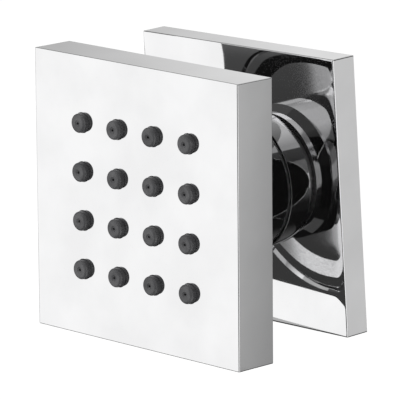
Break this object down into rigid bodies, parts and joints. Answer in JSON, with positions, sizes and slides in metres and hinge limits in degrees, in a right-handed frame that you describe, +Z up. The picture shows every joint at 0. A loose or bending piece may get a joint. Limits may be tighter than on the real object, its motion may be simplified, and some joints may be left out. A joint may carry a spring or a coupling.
{
  "type": "shower body jet",
  "caption": "Square chrome body jet for a shower wall: a spray head with soft nozzles swivels on a ball joint, and a square plate slides on its round threaded inlet.",
  "frame": {"origin": "centre of the water inlet's mouth, on the inlet's axis", "axes": "+Y along the inlet into the wall, so the head faces -Y, and +Z up"},
  "size_m": [0.0533, 0.0449, 0.0531],
  "materials": {
    "polished_chrome": "mirror-polished chrome plating on brass",
    "turned_chrome": "chrome plating over fine lathe marks",
    "nozzle_silicone": "matt dark grey silicone",
    "seal_rubber": "black rubber",
    "white_plastic": "moulded acetal",
    "spring_steel": "stainless steel",
    "pad_foam": "closed-cell foam"
  },
  "bodies": {
    "body": {"inlet_body": "polished_chrome", "inlet_screen": "spring_steel", "inlet_washer": "seal_rubber", "flow_regulator": "white_plastic", "regulator_ring": "seal_rubber", "ball_seal": "seal_rubber", "disc_spring": "spring_steel", "collar_nut": "polished_chrome"},
    "seat": {"friction_seat": "white_plastic"},
    "ball": {"swivel_ball": "polished_chrome", "stem_clip": "spring_steel"},
    "head": {"head_block": "polished_chrome", "nozzle_mat": "nozzle_silicone", "spray_plate": "white_plastic", "rear_cap": "turned_chrome", "cap_seal": "seal_rubber", "stem_seal": "seal_rubber"},
    "ring": {"plate_ring": "seal_rubber"},
    "plate": {"wall_plate": "polished_chrome", "wall_pad": "pad_foam"}
  },
  "joints": [
    {"name": "swing_direction", "type": "hinge", "parent": "body", "child": "seat", "pos_m": [0, -0.02409, 0], "axis": [0, -1, 0], "continuous": true},
    {"name": "head_swing", "type": "hinge", "parent": "seat", "child": "ball", "pos_m": [0, -0.02409, 0], "axis": [-0.6351, 0, 0.7724], "range_deg": [-14.62, 7.38]},
    {"name": "head_spin", "type": "hinge", "parent": "ball", "child": "head", "pos_m": [0, -0.02409, 0], "axis": [0.0488, -0.998, 0.0401], "continuous": true},
    {"name": "plate_slide", "type": "slide", "parent": "body", "child": "ring", "axis": [0, -1, 0], "range_m": [-0.004, 0.003]},
    {"name": "plate_turn", "type": "hinge", "parent": "ring", "child": "plate", "pos_m": [0, -0.01009, 0], "axis": [0, -1, 0], "continuous": true}
  ]
}
